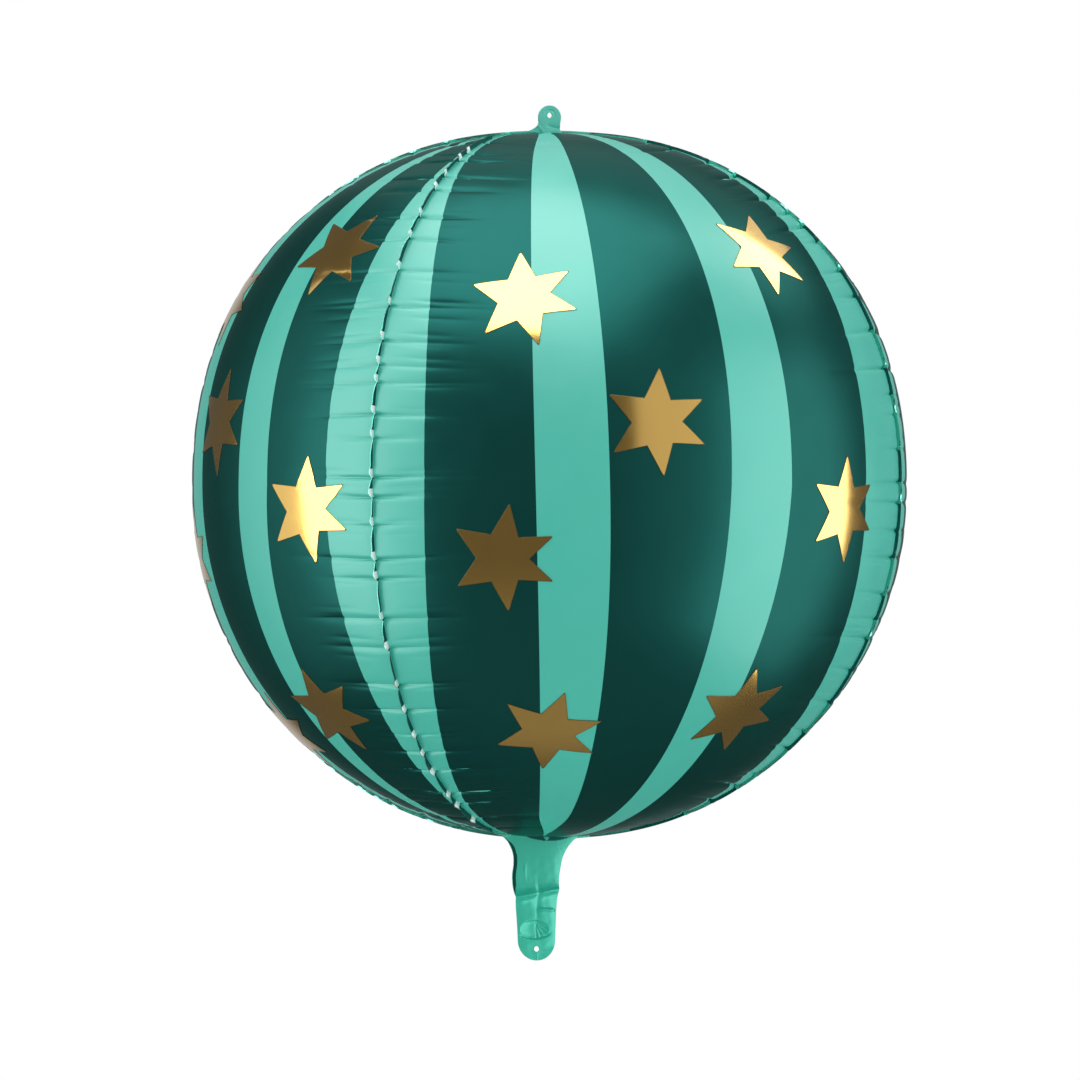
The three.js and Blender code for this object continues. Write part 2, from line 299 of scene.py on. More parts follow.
def linear(red, green, blue):
    """An sRGB colour, 0 to 255, as the linear colour that a shader takes."""
    parts = [c / 255 for c in (red, green, blue)]
    return [c / 12.92 if c <= 0.04045 else ((c + 0.055) / 1.055) ** 2.4 for c in parts] + [1]


def new_material(name):
    material = bpy.data.materials.new(name)
    material.use_nodes = True
    shader = material.node_tree.nodes["Principled BSDF"]
    return material, material.node_tree, shader


def noise(tree, scale, detail, seed_offset):
    """Noise over the piece's own shape, moved by seed_offset so that no two look alike."""
    place = tree.nodes.new("ShaderNodeTexCoord")
    mapping = tree.nodes.new("ShaderNodeMapping")
    mapping.inputs["Location"].default_value = (seed_offset, seed_offset * 0.7, seed_offset * 1.3)
    texture = tree.nodes.new("ShaderNodeTexNoise")
    texture.inputs["Scale"].default_value = scale
    texture.inputs["Detail"].default_value = detail
    tree.links.new(place.outputs["Object"], mapping.inputs["Vector"])
    tree.links.new(mapping.outputs["Vector"], texture.inputs["Vector"])
    return texture.outputs["Fac"]


def ramped(tree, value, low, high):
    """value, which lies mostly between 0.3 and 0.7, spread over low to high."""
    spread = tree.nodes.new("ShaderNodeMapRange")
    spread.inputs["From Min"].default_value = 0.3
    spread.inputs["From Max"].default_value = 0.7
    spread.inputs["To Min"].default_value = low
    spread.inputs["To Max"].default_value = high
    tree.links.new(value, spread.inputs["Value"])
    return spread.outputs["Result"]


def mixed(tree, value, first, second):
    mix = tree.nodes.new("ShaderNodeMix")
    mix.data_type = "RGBA"
    mix.inputs["A"].default_value = first
    mix.inputs["B"].default_value = second
    tree.links.new(value, mix.inputs["Factor"])
    return mix.outputs["Result"]


def bumped(tree, value, strength, distance):
    bump = tree.nodes.new("ShaderNodeBump")
    bump.inputs["Strength"].default_value = strength
    bump.inputs["Distance"].default_value = distance
    tree.links.new(value, bump.inputs["Height"])
    return bump.outputs["Normal"]


def foil(name, inks, metallic, roughness, specular, peel_strength, seed):
    """Printed foil: uneven ink, uneven satin and a faint orange peel."""
    material, tree, shader = new_material(name)
    shader.inputs["Metallic"].default_value = metallic
    shader.inputs["Specular IOR Level"].default_value = specular
    cloud = ramped(tree, noise(tree, 9, 3, seed), 0, 1)
    tree.links.new(mixed(tree, cloud, linear(*inks[0]), linear(*inks[1])), shader.inputs["Base Color"])
    satin = ramped(tree, noise(tree, 45, 4, seed + 5), roughness[0], roughness[1])
    tree.links.new(satin, shader.inputs["Roughness"])
    peel = bumped(tree, noise(tree, 700, 2, seed + 9), peel_strength, 0.0004)
    tree.links.new(peel, shader.inputs["Normal"])
    return material


def mint_foil():
    return foil("mint_foil", [(70, 200, 180), (74, 205, 185)], 0, (0.34, 0.42), 0.62, 0.02, 1)


def dark_foil():
    """Dark green ink, which tints the gloss on the metal below it."""
    material = foil("dark_green_foil", [(22, 79, 74), (25, 83, 77)], 0.5, (0.30, 0.36), 0.1, 0.02, 2)
    shader = material.node_tree.nodes["Principled BSDF"]
    shader.inputs["Specular Tint"].default_value = (0.2, 0.62, 0.56, 1)
    return material


def gold_foil():
    """Stamped gold under a thin clear coat."""
    material = foil("gold_foil", [(234, 188, 92), (238, 194, 98)], 0.95, (0.12, 0.17), 0.5, 0.01, 3)
    shader = material.node_tree.nodes["Principled BSDF"]
    shader.inputs["Coat Weight"].default_value = 0.6
    shader.inputs["Coat IOR"].default_value = 1.7
    shader.inputs["Coat Roughness"].default_value = 0.12
    return material


def gold_edge():
    return foil("gold_foil_edge", [(96, 78, 40), (104, 84, 44)], 0.6, (0.35, 0.45), 0.4, 0.02, 4)


def sealed_margin():
    inks = [(110, 200, 184), (116, 206, 190)]
    return foil("sealed_margin_foil", inks, 0.9, (0.16, 0.24), 0.5, 0.03, 5)


def painted_shade_margin():
    """Painted shade: the margin's side between its kinks, dark green for the shade and dark reflection it
    shows there.
    """
    return foil("painted_shade_on_margin_foil", [(8, 80, 74), (12, 88, 82)], 0, (0.3, 0.4), 0.1, 0.03, 6)


def painted_glint_margin():
    """Painted highlight: pale film at a kink of the margin, in place of the glint that a kink catches."""
    inks = [(236, 255, 252), (245, 255, 253)]
    return foil("painted_glint_on_margin_foil", inks, 0, (0.15, 0.25), 0.9, 0.03, 7)


def flat_mint_foil():
    """The neck's film, which isn't drawn taut and shines more."""
    inks = [(44, 190, 160), (58, 204, 176)]
    return foil("flat_mint_foil", inks, 0.12, (0.2, 0.3), 0.4, 0.04, 8)


def valve_film():
    """Thin milky film with a fine grain."""
    material, tree, shader = new_material("clear_valve_film")
    shader.inputs["Transmission Weight"].default_value = 0.6
    shader.inputs["IOR"].default_value = 1.5
    cloud = ramped(tree, noise(tree, 60, 3, 7), 0, 1)
    tint = mixed(tree, cloud, linear(226, 232, 230), linear(238, 242, 240))
    tree.links.new(tint, shader.inputs["Base Color"])
    tree.links.new(ramped(tree, noise(tree, 90, 3, 8), 0.2, 0.35), shader.inputs["Roughness"])
    tree.links.new(bumped(tree, noise(tree, 500, 2, 9), 0.1, 0.0003), shader.inputs["Normal"])
    return material


MINT = mint_foil()
DARK = dark_foil()
GOLD = gold_foil()
GOLD_EDGE = gold_edge()
SEALED = sealed_margin()
PAINTED_SHADE_MARGIN = painted_shade_margin()
PAINTED_GLINT_MARGIN = painted_glint_margin()
FLAT_MINT = flat_mint_foil()
CLEAR_FILM = valve_film()

# ---- gores ----------------------------------------------------------------------------------

GORE_MATERIALS = [MINT, DARK, SEALED, PAINTED_SHADE_MARGIN, PAINTED_GLINT_MARGIN]
MINT_INK, DARK_INK, SEALED_FILM, PAINTED_SHADE_FILM, PAINTED_GLINT_FILM = range(5)
BAND_INKS = [MINT_INK, DARK_INK, MINT_INK, DARK_INK, MINT_INK, DARK_INK, MINT_INK]  # left to right
BAND_COLUMNS = [10, 9, 3, 6, 3, 9, 10]
# How the columns of each band crowd: above 1 towards its left, below -1 towards its right.
BAND_GRADING = [1.8, 1.15, 1, 1, 1, -1.15, -1.8]
LINING_SKIP = 5  # the inside has every fifth column of the outside
PAINTED_SHADE_STARTS = 45  # the globe's radius above which margins get painted shade
PAINTED_GLINTS_START = 60  # and above which their kinks get a painted highlight


def stripe_edges(height, wide):
    """The six places across a gore, 0 left to 1 right, where the ink changes."""
    radius = radius_at(height)
    shift = -0.006 if wide else 0.016
    lack = GLOBE_RADIUS - radius
    near_top = np.where(height > 0, np.exp(-((radius / 50) ** 2)), 0)
    near_bottom = np.where(height < 0, 1 - blend_step(radius, 12, 75), 0)
    above = np.maximum(height, 0)
    below = np.minimum(height, 0)
    edges = [
        np.maximum(0.085 - 0.0005 * lack, 0.03 if wide else 0.065),
        0.255 - 6.5e-5 * height + 0.05 * near_top,
        0.366 - 6e-5 * height + 0.035 * near_top,
        0.566 + shift + 4.5e-5 * above + 1.1e-4 * below,
        0.678 + shift + 2.1e-4 * below,
        np.minimum(0.861 + shift + 0.0007 * lack, 0.965),
    ]
    edges[1] = edges[1] + (0.322 - edges[1]) * near_bottom
    edges[2] = edges[2] + (0.327 - edges[2]) * near_bottom
    return edges


def column_places(height, wide):
    """Fractions across the gore of each column, which follow the stripes, for each row."""
    edges = [0 * height, *stripe_edges(height, wide), 0 * height + 1]
    columns = []
    for left, right, steps, grading in zip(edges, edges[1:], BAND_COLUMNS, BAND_GRADING):
        t = np.arange(steps) / steps
        t = t**grading if grading > 0 else 1 - (1 - t) ** -grading
        columns.append(left[:, None] + (right - left)[:, None] * t[None, :])
    columns.append(0 * height[:, None] + 1)
    return np.concatenate(columns, 1)


def row_heights(wide):
    """Heights of a gore's rows of points; a wide gore's go on over the crest at each pole."""
    reach = [along_at(side * height_of_crest(side)) for side in (-1, 1)]
    steps = int((reach[1] - reach[0]) / ROW_STEP)
    rows = np.linspace(reach[0], reach[1], steps)
    if wide:
        extra = np.arange(1, int((CREST_END - POLE_RADIUS) / ROW_STEP) + 1) * ROW_STEP
        rows = np.concatenate([(rows[0] - extra)[::-1], rows, rows[-1] + extra])
    return height_from(rows)


def height_of_crest(side):
    """The height at which the globe's radius is that of the crest's end, a hair outside it."""
    power = UPPER_FULLNESS if side > 0 else LOWER_FULLNESS
    return GLOBE_HALF_HEIGHT * (1 - ((CREST_END + 0.01) / GLOBE_RADIUS) ** power) ** (1 / power)


def fin_shape(key, along, radius):
    """Height and lean, away from the wide gore, of the sealed margin along a seam."""
    places = main_puckers(SEAMS[key])
    index = np.clip(np.searchsorted(places, along), 1, len(places) - 1)
    low, high = places[index - 1], places[index]
    t = np.clip((along - low) / (high - low), 0, 1)
    rise = along - low
    lean = -30 + (30 + 12 * np.sin(index * 2.4)) * np.sin(math.pi * t) ** 0.8
    lean = lean + 34 * np.exp(-(((rise - 2.9) / 2.3) ** 2))
    lean = np.radians(lean) * blend_step(radius, 30, 80)
    growth = blend_step(radius, 15, 70)
    height = FIN_HEIGHT_AT_POLES + (FIN_HEIGHT[key] - FIN_HEIGHT_AT_POLES) * growth
    return height, lean


def at_pucker(key, height):
    """Whether a margin is kinked by a pucker there."""
    places = main_puckers(SEAMS[key])
    along = along_at(height)
    index = np.clip(np.searchsorted(places, along), 1, len(places)) - 1
    rise = along - places[index]
    return (rise > 0.7) & (rise < 5.2)


def shows_mint(key, height):
    """Whether a margin's side is mint film there, not painted shade, between two of its kinks."""
    index = np.searchsorted(main_puckers(SEAMS[key]), along_at(height))
    return np.sin(index * 2.4 + 1) > 0.1


def fin(azimuth, height, radius, key, towards_gusset, inward):
    """Gore-side and seam-side points of a margin, half way up and at its tip. inward is the
    direction into this gore, and towards_gusset the one out of the wide gore: 1 is +azimuth."""
    tall, lean = fin_shape(key, along_at(height), radius)
    points = []
    for share, bend in ((0.5, 0.6), (1.0, 1.0)):
        aside = towards_gusset * tall * share * np.sin(lean * bend) / radius
        out = tall * share * np.cos(lean * bend)
        gore_side = on_globe(azimuth + aside + inward * FIN_THICKNESS / radius, height, out)
        seam_side = on_globe(azimuth + aside, height, out)
        points.append((gore_side, seam_side))
    return points


def gore_inks(centre, wide, heights, radius, columns, count):
    """The material of each strip of a gore's mesh at each row, in the order of its rings."""
    ink = np.full(count, MINT_INK)
    ink[:3] = SEALED_FILM
    ink[3 : 2 + columns] = np.repeat(BAND_INKS, BAND_COLUMNS)
    ink[2 + columns : 7 + columns] = SEALED_FILM
    ink[-1] = SEALED_FILM
    ink = np.repeat(ink[None, :], len(heights) - 1, 0)
    if wide:
        left_seam, right_seam = seam_keys(centre, wide)
        # Painted shade on a wide gore's margins between their kinks.
        painted_shade_ink = np.where(radius[1:] > PAINTED_SHADE_STARTS, PAINTED_SHADE_FILM, SEALED_FILM)
        # Painted highlight: pale film at each kink of the left margin only, for the glint that a kink
        # catches.
        painted_glint_rows = at_pucker(left_seam, heights)[1:] & (radius[1:] > PAINTED_GLINTS_START)
        mint = shows_mint(right_seam, heights)[1:]
        ink[:, 1:3] = np.where(painted_glint_rows, PAINTED_GLINT_FILM, painted_shade_ink)[:, None]
        ink[:, 2 + columns : 4 + columns] = np.where(mint, SEALED_FILM, painted_shade_ink)[:, None]
    return ink


def make_gore(side, centre, wide):
    """One gore: striped outside, thin lining, and a standing margin along each of its seams."""
    heights = row_heights(wide)
    radius = radius_at(heights)
    middle = math.radians(centre)
    edge = half_angle(radius, wide) - SEAM_GAP / radius
    azimuth = middle + (column_places(heights, wide) * 2 - 1) * edge[:, None]
    tall = np.broadcast_to(heights[:, None], azimuth.shape)
    stand = relief(azimuth, tall, centre, wide)
    outside = on_globe(azimuth, tall, stand)
    inside = on_globe(azimuth, tall, stand - FILM)[:, ::LINING_SKIP][:, ::-1]
    left_seam, right_seam = seam_keys(centre, wide)
    outward = 1 if wide else -1
    left_half, left_tip = fin(middle - edge, heights, radius, left_seam, -outward, 1)
    right_half, right_tip = fin(middle + edge, heights, radius, right_seam, outward, -1)
    left_margin = [left_tip[1], left_tip[0], left_half[0]]
    right_margin = [right_half[0], right_tip[0], right_tip[1], right_half[1]]
    ring = [points[:, None] for points in left_margin]
    ring.append(outside)
    ring += [points[:, None] for points in right_margin]
    ring.append(inside)
    ring.append(left_half[1][:, None])
    rings = np.concatenate(ring, 1)
    count = rings.shape[1]
    columns = outside.shape[1]
    ink = gore_inks(centre, wide, heights, radius, columns, count)
    smooth = np.ones(count, bool)
    smooth[:3] = False
    smooth[2 + columns : 7 + columns] = False
    smooth[-2:] = False
    piece = ring_solid(f"foil_gore_{side}", rings, GORE_MATERIALS, ink, smooth)
    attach(piece, "globe")
    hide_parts(f"gore_{side}")


# ---- stars ----------------------------------------------------------------------------------

STAR_FILM = 0.1
STAR_LIFT = 0.14


def star_outline(turn):
    """The stamp's outline, with rounded tips and points along its edges, counter-clockwise."""
    corners = []
    for i, tip in enumerate(STAR_TIPS):
        following = STAR_TIPS[i + 1] if i + 1 < len(STAR_TIPS) else 360
        corners.append((tip + turn, STAR_RADIUS))
        corners.append(((tip + following) / 2 + turn, STAR_NOTCH_RADIUS))
    bearings, reaches = np.array(corners[::-1]).T
    bearings = np.radians(bearings)
    flat = np.stack([reaches * np.sin(bearings), reaches * np.cos(bearings)], -1)
    outline = []
    for i, corner in enumerate(flat):
        before, after = flat[i - 1], flat[(i + 1) % len(flat)]
        is_tip = np.linalg.norm(corner) > (STAR_RADIUS + STAR_NOTCH_RADIUS) / 2
        back = (before - corner) / np.linalg.norm(before - corner)
        ahead = (after - corner) / np.linalg.norm(after - corner)
        if is_tip:
            cut_back = STAR_TIP_ROUNDING * 1.3
            for t in np.linspace(0, 1, 6):
                first = corner + back * cut_back * (1 - t)
                second = corner + ahead * cut_back * t
                outline.append(first * (1 - t) + second * t)
        else:
            outline.append(corner)
        length = np.linalg.norm(after - corner)
        for t in np.linspace(0, 1, 9)[1:-1]:
            place = t * (length - 2.4) + (2.0 if is_tip else 0.4)
            outline.append(corner + ahead * place)
    return np.array(outline)


def beside_on_globe(azimuth, height, right, up):
    """Azimuth and height of places beside a point of the globe, pushed out onto it."""
    place = on_globe(azimuth, height)
    uphill = on_globe(azimuth, height + 1) - place
    uphill = uphill / np.linalg.norm(uphill)
    points = place + np.multiply.outer(up, uphill)
    points = points + np.multiply.outer(right, np.array([math.cos(azimuth), math.sin(azimuth), 0]))
    points[..., 2] -= GLOBE_CENTRE
    power = fullness(points[..., 2])
    flat = (np.hypot(points[..., 0], points[..., 1]) / GLOBE_RADIUS) ** power
    tall = (np.abs(points[..., 2]) / GLOBE_HALF_HEIGHT) ** power
    points = points * ((flat + tall) ** (-1 / power))[..., None]
    return np.arctan2(points[..., 0], -points[..., 1]), points[..., 2]


def make_star(side, centre, wide, number, across, height, turn):
    """One stamp, which follows the film's puckers. across is its place, -1 left to 1 right."""
    half = float(half_angle(radius_at(height), wide))
    azimuth = math.radians(centre) + (across + (0 if wide else GUSSET_STAR_SHIFT)) * half
    outline = star_outline(turn)
    shares = np.concatenate([np.linspace(0.03, 0.96, 18), [0.975, 1.0]])
    flat = shares[:, None, None] * outline[None]
    around, tall = beside_on_globe(azimuth, height, flat[..., 0], flat[..., 1])
    middle = math.radians(centre)
    around = middle + (around - middle + math.pi) % (2 * math.pi) - math.pi
    stand = relief(around, tall, centre, wide)
    top = on_globe(around, tall, stand + STAR_LIFT + STAR_FILM)
    bottom = on_globe(around, tall, stand + STAR_LIFT)
    under = np.concatenate([bottom[::3], bottom[-1:]])
    rings = np.concatenate([under, top[::-1]])
    edge = np.zeros(len(rings) - 1, int)
    edge[len(under) - 1 : len(under) + 1] = 1
    piece = ring_solid(f"gold_star_{side}_{number}", rings, [GOLD, GOLD_EDGE], edge[:, None])
    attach(piece, "globe")
    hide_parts(f"star_{side}_{number}")


# ---- flat sealed pieces: tab, neck and valve films --------------------------------------------


def smooth_line(points, at):
    """A smooth line through a few (place, value) points, by Catmull-Rom with their own spacing."""
    x, y = np.array(points, float).T
    slope = np.gradient(y, x)
    i = np.clip(np.searchsorted(x, at) - 1, 0, len(x) - 2)
    width = x[i + 1] - x[i]
    t = np.clip((at - x[i]) / width, 0, 1)
    first = (1 + 2 * t) * (1 - t) ** 2 * y[i] + t * (1 - t) ** 2 * width * slope[i]
    return first + t * t * (3 - 2 * t) * y[i + 1] - t * t * (1 - t) * width * slope[i + 1]


def flat_piece(name, heights, left, right, columns, front_of, back_of, materials, ink_of=None):
    """A thin closed piece in the plane of the creases. heights run upward, left and right are its
    edges at each, and front_of and back_of give Y at x and z."""
    share = (1 - np.cos(np.linspace(0, math.pi, columns + 1))) / 2
    share = 0.6 * share + 0.4 * np.linspace(0, 1, columns + 1)
    x = left[:, None] + (right - left)[:, None] * share[None]
    z = np.broadcast_to(heights[:, None], x.shape)
    front = np.stack([x, front_of(x, z), z], -1)
    back = np.stack([x, back_of(x, z), z], -1)[:, ::-1]
    rings = np.concatenate([front, back], 1)
    ink = None
    if ink_of is not None:
        middle_x = (x[:-1, :-1] + x[1:, 1:]) / 2
        middle_z = (z[:-1, :-1] + z[1:, 1:]) / 2
        ink = np.zeros((len(heights) - 1, rings.shape[1]), int)
        ink[:, :columns] = ink_of(middle_x, middle_z)
    return ring_solid(name, rings, materials, ink)


TAB_RADIUS = 6.9
TAB_TOP = 5.5
TAB_ROOT = -11
TAB_CENTRE = TAB_TOP - TAB_RADIUS
HANG_HOLE_RADIUS = 1.5
TAB_HALF_THICKNESS = 0.5
# Height and X of points on the tab's edges, from its root up to its round end.
TAB_LEFT = [(TAB_ROOT, -15.5), (-9.2, -13.2), (-8.0, -10.4), (-6.0, -7.6),
            (-3.9, -6.6), (-2.6, -6.8), (TAB_CENTRE, -TAB_RADIUS)]
TAB_RIGHT = [(TAB_ROOT, 8.6), (-9.4, 7.4), (-8.3, 6.6), (-6.0, 6.4),
             (-3.9, 6.5), (-2.6, 6.8), (TAB_CENTRE, TAB_RADIUS)]


def tab_bend(x, z):
    """Y of the tab's middle: a diagonal fold at its root, a dent over the hole and a slight curl."""
    fold = z + 6.2 + 0.22 * (x + 1)
    side = blend_step(x, -3, 1)
    bend = 0.55 * side * np.exp(-np.abs(fold) / np.where(fold > 0, 1.6, 0.7))
    dent = np.hypot(x, z - 0.2) - 2.7
    bend = bend + 0.11 * np.exp(-((dent / 0.55) ** 2)) * (1 + np.clip(z, -1, 1))
    curl = 0.5 * (np.clip(-x - 3, 0, 20) / 6) ** 2 * blend_step(-z, 1, 7)
    pleat = 0.3 * np.exp(-((x + 6.2 + 0.9 * (z + 7)) / 0.8) ** 2) * blend_step(-z, 4, 6.5)
    return bend + curl - pleat


def make_tab():
    """The hang tab with its hole, which bends across its crease above the globe."""
    straight = np.linspace(TAB_ROOT, TAB_CENTRE, 34)[:-1]
    turn = np.linspace(0, math.pi / 2 - 0.03, 40)
    heights = np.concatenate([straight, TAB_CENTRE + TAB_RADIUS * np.sin(turn)])
    half = np.sqrt(np.clip(TAB_RADIUS**2 - (heights - TAB_CENTRE) ** 2, 0, None))
    lower = heights < TAB_CENTRE
    left = np.where(lower, smooth_line(TAB_LEFT, heights), -half)
    right = np.where(lower, smooth_line(TAB_RIGHT, heights), half)

    def front_of(x, z):
        return tab_bend(x, z) - TAB_HALF_THICKNESS

    def back_of(x, z):
        return tab_bend(x, z) + TAB_HALF_THICKNESS

    piece = flat_piece("hang_tab", heights, left, right, 44, front_of, back_of, [MINT])
    cut(piece, round_cutter(0, 0, HANG_HOLE_RADIUS, 5))
    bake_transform(piece)
    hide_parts("tab_front_layer", "tab_back_layer")


NECK_SHIFT = -8
NECK_LENGTH = 66
NECK_TIP_RADIUS = 11.3
NECK_HOLE_DEPTH = 59.5
NECK_HOLE_RADIUS = 1.6
NECK_TOP = -5.6  # depth of the neck's upper end, above its crease
NECK_TIP_CENTRE = NECK_LENGTH - NECK_TIP_RADIUS
# Depth below the crease and X of points on the neck's edges, from its root down to its round end.
NECK_LEFT = [(NECK_TOP, -34), (-4.4, -30.5), (-1.5, -26.4), (2, -24), (6.5, -22.3), (12, -22.0),
             (18, -22.8), (26, -22.5), (34, -21.0), (43, -20.0), (NECK_TIP_CENTRE, -19.3)]
NECK_RIGHT = [(NECK_TOP, 29.5), (-4.8, 22), (-2.5, 16.5), (1, 12.5), (6.5, 8.8), (15, 6.4),
              (25, 4.9), (38, 4.0), (48, 3.6), (NECK_TIP_CENTRE, 3.3)]


def neck_folds(x, depth):
    """The sharp fold across the neck and the shorter one below it."""
    below = depth - 28.4 + 0.16 * (x + 8)
    reach = np.where(below > 0, 3.0, 3.8)
    notch = 1 - 0.35 * np.exp(-((x + 7.5) / 1.5) ** 2)
    stand = 3.0 * np.exp(-np.sqrt(below**2 + 0.09) / reach) * notch
    second = depth - 37.4 - 0.06 * (x + 4)
    on_right = blend_step(x, -8.6, -5) * (1 - blend_step(x, 1, 4))
    reach = np.where(second > 0, 2.2, 1.1)
    return stand + 1.5 * on_right * np.exp(-np.sqrt(second**2 + 0.04) / reach)


def neck_inlet(x, depth):
    """The dent at the valve's inlet, the creases that fan out in it and the lip below it."""
    inlet = np.hypot((x + 9.5) / 8.6, (depth - 48.6) / 5.4)
    stand = -1.3 * np.clip(1 - inlet**2, 0, 1) ** 0.6
    around = np.arctan2(depth - 46, x + 8)
    fan = np.sin(15 * around) * blend_step(inlet, 0.15, 0.4) * (1 - blend_step(inlet, 0.75, 1))
    stand = stand + 0.26 * fan * blend_step(x, -9, -7.5)
    lip = depth - 53.6 + 0.028 * (x + 9.5) ** 2
    mouth = 1 - blend_step(np.abs(x + 9), 7, 10)
    return stand - 0.8 * mouth * np.exp(-((lip / 0.6) ** 2))


def neck_bend(x, depth):
    """How far the neck's middle stands forward of its plane, in mm, with its folds and crinkles."""
    stand = neck_folds(x, depth) + neck_inlet(x, depth)
    spine = blend_step(depth, 27, 31) * (1 - blend_step(depth, 52, 56))
    stand = stand - 0.15 * spine * np.exp(-np.abs(x + 8) / 0.7)
    stand = stand + 0.06 * np.clip(depth - 56, 0, 20)
    streak = blend_step(depth, 9, 14) * (1 - blend_step(depth, 19, 24))
    stand = stand + 0.15 * streak * np.exp(-(((x + 15.4) / 0.8) ** 2))
    stand = stand + 0.12 * np.exp(-((x + 8) / 0.35) ** 2) * blend_step(depth, 61, 62.5)
    waves = np.sin(x * 0.9 + depth * 0.35) * np.sin(depth * 0.5 - x * 0.2 + 1)
    return stand + 0.035 * waves * blend_step(depth, 4, 12)


def neck_edges(depth):
    """X of the neck's left and right edges."""
    past = np.clip(depth - NECK_TIP_CENTRE, 0, None)
    tip = np.sqrt(np.clip(NECK_TIP_RADIUS**2 - past**2, 0, None))
    round_end = depth > NECK_TIP_CENTRE
    left = np.where(round_end, NECK_SHIFT - tip, smooth_line(NECK_LEFT, depth))
    right = np.where(round_end, NECK_SHIFT + tip, smooth_line(NECK_RIGHT, depth))
    return left, right


def neck_half_thickness(x, depth):
    """Thin along the sealed edges, thicker where the valve sleeve lies between the layers."""
    left, right = neck_edges(depth)
    across = np.clip((2 * x - left - right) / np.maximum(right - left, 0.1), -1, 1)
    return 0.3 + 0.55 * (1 - across**4) * (1 - blend_step(depth, 56, 60))


def neck_ink_and_shade(x, z):
    """The dark print runs down over the neck's root. The dark strip along its left edge is painted shade,
    for the dark reflection of that edge where it turns away.
    """
    depth = NECK_CREASE - z
    left, _ = neck_edges(depth)
    over_root = z > -405.9 + 4.2 * ((x + 0.5) / 18.5) ** 2
    light_wedge = np.abs(x + 2.1) < (z + 405.9) * 0.83
    # Painted shade: a narrow dark strip along the left edge, standing in for that edge's dark reflection.
    width = 2.0 * blend_step(depth, -3.5, 2) * (1 - blend_step(depth, 22, 31))
    strip = (x - left < width) & (depth > -3.5)
    return ((over_root & ~light_wedge) | strip).astype(int)


def make_neck():
    """The flat filling neck below the globe."""
    turn = np.linspace(0.03, math.pi / 2, 46)
    tip_depths = NECK_TIP_CENTRE + NECK_TIP_RADIUS * np.cos(turn)
    depths = np.concatenate([tip_depths, np.linspace(NECK_TIP_CENTRE, NECK_TOP, 170)[1:]])
    left, right = neck_edges(depths)

    def front_of(x, z):
        depth = NECK_CREASE - z
        return -neck_bend(x, depth) - neck_half_thickness(x, depth)

    def back_of(x, z):
        depth = NECK_CREASE - z
        return -neck_bend(x, depth) + neck_half_thickness(x, depth)

    heights = NECK_CREASE - depths
    films = [FLAT_MINT, DARK]
    piece = flat_piece("filling_neck", heights, left, right, 84, front_of, back_of, films, neck_ink_and_shade)
    cut(piece, round_cutter(NECK_SHIFT, NECK_CREASE - NECK_HOLE_DEPTH, NECK_HOLE_RADIUS, 8))
    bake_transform(piece)
    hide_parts("neck_front_layer", "neck_back_layer")


VALVE_HALF_WIDTH = 9
VALVE_REACH_IN_GLOBE = 60
VALVE_REACH_IN_NECK = 42


def make_valve_film(side, facing):
    """One film of the valve sleeve, which lies inside the neck and hangs up into the globe."""
    heights = np.linspace(NECK_CREASE - VALVE_REACH_IN_NECK, BOTTOM_POLE + VALVE_REACH_IN_GLOBE, 150)
    left = np.full(len(heights), NECK_SHIFT - VALVE_HALF_WIDTH, float)
    right = left + 2 * VALVE_HALF_WIDTH

    def middle(x, z):
        depth = NECK_CREASE - z
        in_neck = blend_step(depth, -3, 1)
        ripple = 0.6 * np.sin(z * 0.16 + x * 0.1) * blend_step(-depth, 8, 20)
        return -neck_bend(x, np.maximum(depth, 0)) * in_neck + ripple + facing * 0.16

    def front_of(x, z):
        return middle(x, z) - 0.06

    def back_of(x, z):
        return middle(x, z) + 0.06

    piece = flat_piece(f"valve_film_{side}", heights, left, right, 16, front_of, back_of, [CLEAR_FILM])
    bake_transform(piece)
    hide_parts(f"valve_film_{side}_in_globe", f"valve_film_{side}_in_neck")


for gore_side, gore_centre, is_wide in GORES:
    make_gore(gore_side, gore_centre, is_wide)
    for star_number, (star_across, star_height, star_turn) in enumerate(STARS, 1):
        make_star(gore_side, gore_centre, is_wide, star_number, star_across, star_height, star_turn)
make_tab()
make_neck()
make_valve_film("front", -1)
make_valve_film("back", 1)

# ---- studio ---------------------------------------------------------------------------------

VIEW_AZIMUTH = -24
CAMERA_DISTANCE = 25
FRAME_WIDTH = 0.6042  # of the view, at the globe
FRAME_LEFT_OF_AXIS = 0.0053
FRAME_HEIGHT = -0.2376

view = math.radians(VIEW_AZIMUTH)
RIGHT = Vector((math.cos(view), math.sin(view), 0))
NEAR = Vector((math.sin(view), -math.cos(view), 0))
UP = Vector((0, 0, 1))


def make_camera():
    data = bpy.data.cameras.new("camera")
    data.sensor_width = 36
    data.lens = 36 * CAMERA_DISTANCE / FRAME_WIDTH
    data.clip_end = 50
    camera = bpy.data.objects.new("camera", data)
    camera.location = NEAR * CAMERA_DISTANCE - RIGHT * FRAME_LEFT_OF_AXIS + UP * FRAME_HEIGHT
    camera.rotation_euler = (math.pi / 2, 0, view)
    bpy.context.scene.collection.objects.link(camera)
    bpy.context.scene.camera = camera


